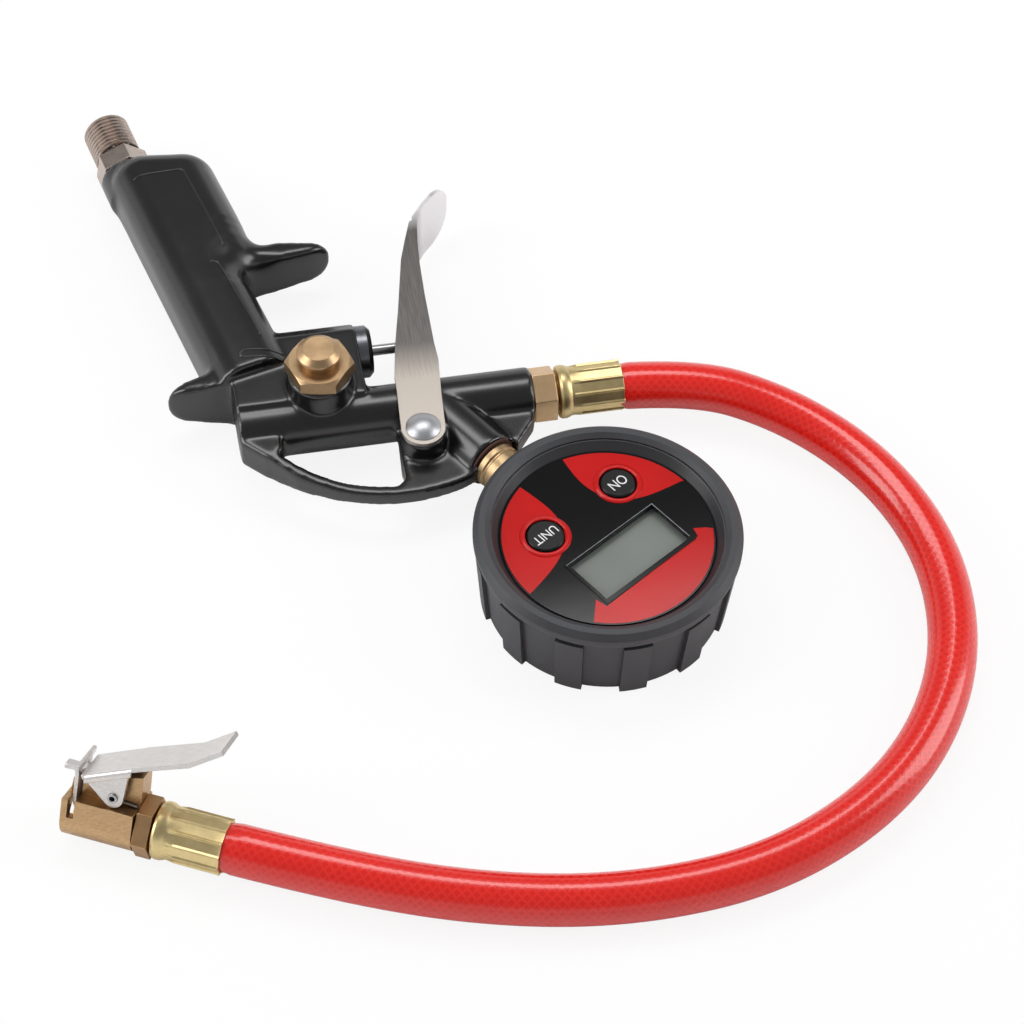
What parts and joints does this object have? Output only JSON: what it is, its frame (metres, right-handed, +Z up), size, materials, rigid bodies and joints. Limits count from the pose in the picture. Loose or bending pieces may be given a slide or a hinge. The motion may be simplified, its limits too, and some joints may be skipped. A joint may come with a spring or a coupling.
{
  "type": "tyre inflator",
  "caption": "Hand-held tyre inflator: trigger-operated air gun with a round digital gauge, bleed button, short curved hose and clip-on chuck.",
  "frame": {"origin": "centre of the gauge boot's underside, on the table the part lies on", "axes": "+X along the gun's barrel towards the hose, +Z up out of the table through the gauge's face, +Y towards the inlet end of the grip"},
  "size_m": [0.2434, 0.2832, 0.0373],
  "materials": {
    "enamel": "glossy black enamel",
    "nickel": "warm nickel plate",
    "brass": "machined brass",
    "ferrule_brass": "pressed yellow brass",
    "rubber": "matt black",
    "gasket_fibre": "matt",
    "spring_steel": "drawn wire and strip",
    "rivet_aluminium": "bright",
    "steel": "plain",
    "trigger_steel": "nickel-plated sheet",
    "chuck_steel": "nickel-plated sheet",
    "hose_vinyl": "translucent red, braid inside",
    "boot_rubber": "matt dark grey",
    "case_plastic": "fine grain",
    "label_film": "printed under gloss",
    "window_plastic": "clear",
    "lcd_glass": "grey-green, blank",
    "circuit_board": "green mask",
    "battery_steel": "bright",
    "key_rubber": "satin black, white lettering"
  },
  "bodies": {
    "gun": {"gun_body": "enamel", "inlet_adapter": "nickel", "valve_guide": "brass", "pin_seal": "rubber", "valve_spring": "spring_steel", "bleed_bonnet": "brass", "bleed_gasket": "gasket_fibre", "bleed_spring": "spring_steel", "trigger_rivet": "rivet_aluminium", "outlet_fitting": "brass", "ferrule_gun": "ferrule_brass", "hose": "hose_vinyl", "gauge_stem": "brass", "stem_washer": "gasket_fibre", "stem_nut": "steel", "pressure_sensor": "steel", "gauge_boot": "boot_rubber", "gauge_case": "case_plastic", "gauge_back_cover": "case_plastic", "back_cover_screws": "steel", "face_label": "label_film", "display_window": "window_plastic", "lcd": "lcd_glass", "gauge_pcb": "circuit_board", "tact_switches": "case_plastic", "battery_contact": "spring_steel", "battery": "battery_steel", "battery_holder": "case_plastic", "chuck_body": "brass", "chuck_seal": "rubber", "chuck_fitting": "brass", "chuck_depressor": "brass", "ferrule_chuck": "ferrule_brass", "chuck_pivot_pin": "steel", "chuck_spring": "spring_steel"},
    "trigger": {"trigger_lever": "trigger_steel"},
    "valve": {"valve_pin": "brass", "poppet_seal": "rubber"},
    "bleed": {"bleed_button": "brass", "bleed_stem": "brass", "bleed_seal": "rubber"},
    "on_key": {"on_button": "key_rubber"},
    "unit_key": {"unit_button": "key_rubber"},
    "clip_lever": {"chuck_lever": "chuck_steel"},
    "jaw": {"chuck_jaw": "chuck_steel"}
  },
  "joints": [
    {"name": "trigger_hinge", "type": "hinge", "parent": "gun", "child": "trigger", "pos_m": [-0.0413, 0.0447, 0.0125], "axis": [0, 0, 1], "range_deg": [0, 7], "stiffness_Nm_per_rad": 1.5, "springref_deg": -2.86},
    {"name": "valve_slide", "type": "slide", "parent": "gun", "child": "valve", "axis": [-1, 0, 0], "range_m": [0, 0.0047], "deforming": ["valve_spring"]},
    {"name": "bleed_slide", "type": "slide", "parent": "gun", "child": "bleed", "axis": [0, 0, -1], "range_m": [0, 0.002], "stiffness_N_per_m": 500, "springref_m": -0.001, "deforming": ["bleed_spring"]},
    {"name": "on_key_slide", "type": "slide", "parent": "gun", "child": "on_key", "axis": [0, 0, -1], "range_m": [0, 0.0004], "stiffness_N_per_m": 40, "springref_m": -0.0002},
    {"name": "unit_key_slide", "type": "slide", "parent": "gun", "child": "unit_key", "axis": [0, 0, -1], "range_m": [0, 0.0004], "stiffness_N_per_m": 40, "springref_m": -0.0002},
    {"name": "chuck_lever_hinge", "type": "hinge", "parent": "gun", "child": "clip_lever", "pos_m": [-0.13199, -0.05057, 0.01561], "axis": [0.3922, 0.7818, -0.4848], "range_deg": [0, 22], "stiffness_Nm_per_rad": 0.3, "springref_deg": -5.73, "deforming": ["chuck_spring"]},
    {"name": "jaw_slide", "type": "slide", "parent": "gun", "child": "jaw", "axis": [0.2174, 0.4333, 0.8746], "range_m": [0, 0.0035]}
  ],
  "couplings": [
    {"joint": "valve_slide", "follows": "trigger_hinge", "m_per_rad": 0.0373},
    {"joint": "jaw_slide", "follows": "chuck_lever_hinge", "m_per_rad": 0.00885}
  ]
}
